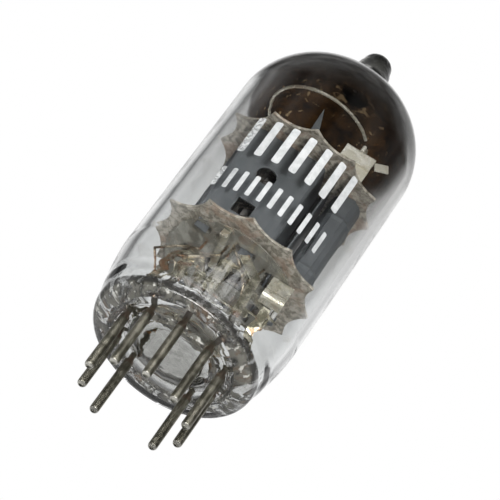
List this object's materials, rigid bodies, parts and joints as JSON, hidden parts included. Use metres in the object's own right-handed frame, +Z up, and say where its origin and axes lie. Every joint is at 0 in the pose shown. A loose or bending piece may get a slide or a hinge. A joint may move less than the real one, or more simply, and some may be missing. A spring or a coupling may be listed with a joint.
{
  "type": "vacuum tube",
  "caption": "Miniature all-glass vacuum tube on a ring of stiff wire pins, with a domed bulb, sealed exhaust tip, dark getter film and an open view of its electrodes.",
  "frame": {"origin": "centre of the base's flat glass underside, inside the ring of pins", "axes": "+Z up the tube's axis to the exhaust tip, +Y towards the gap in the ring of pins, pins down along -Z"},
  "size_m": [0.0208, 0.0208, 0.0557],
  "materials": {
    "bulb_glass": "clear blown glass",
    "stem_glass": "clear pressed glass",
    "pin_metal": "dull nickel-iron wire",
    "getter_film": "dark evaporated metal film",
    "mica": "grey-brown mica sheet",
    "carbonised_sheet": "dark carbonised nickel-plated steel",
    "oxide": "white oxide and alumina coating",
    "grid_wire": "bright wire",
    "shield_nickel": "bright nickel sheet",
    "lead_nickel": "bright nickel wire and ribbon"
  },
  "bodies": {
    "root": {"bulb": "bulb_glass", "cathode_strap": "lead_nickel", "centre_lug": "carbonised_sheet", "control_grid": "grid_wire", "control_grid_lead": "lead_nickel", "divider_plate": "carbonised_sheet", "getter_film": "getter_film", "getter_post": "lead_nickel", "getter_ring": "shield_nickel", "getter_strap": "shield_nickel", "getter_tab": "shield_nickel", "heater_lead_a": "lead_nickel", "heater_lead_b": "lead_nickel", "heater_link": "lead_nickel", "lower_mica": "mica", "pentode_anode_front": "carbonised_sheet", "pentode_anode_lead": "lead_nickel", "pentode_anode_rear": "carbonised_sheet", "pentode_cathode": "oxide", "pentode_heater": "oxide", "pin_1": "pin_metal", "pin_2": "pin_metal", "pin_3": "pin_metal", "pin_4": "pin_metal", "pin_5": "pin_metal", "pin_6": "pin_metal", "pin_7": "pin_metal", "pin_8": "pin_metal", "pin_9": "pin_metal", "screen_grid": "grid_wire", "screen_grid_lead": "lead_nickel", "shield_disc": "shield_nickel", "shield_lead": "lead_nickel", "shield_strap": "shield_nickel", "stem_button": "stem_glass", "suppressor_grid": "grid_wire", "triode_anode": "carbonised_sheet", "triode_anode_lead": "lead_nickel", "triode_cathode": "oxide", "triode_cathode_lead": "lead_nickel", "triode_grid": "grid_wire", "triode_grid_lead": "lead_nickel", "triode_heater": "oxide", "upper_mica": "mica"}
  },
  "joints": []
}
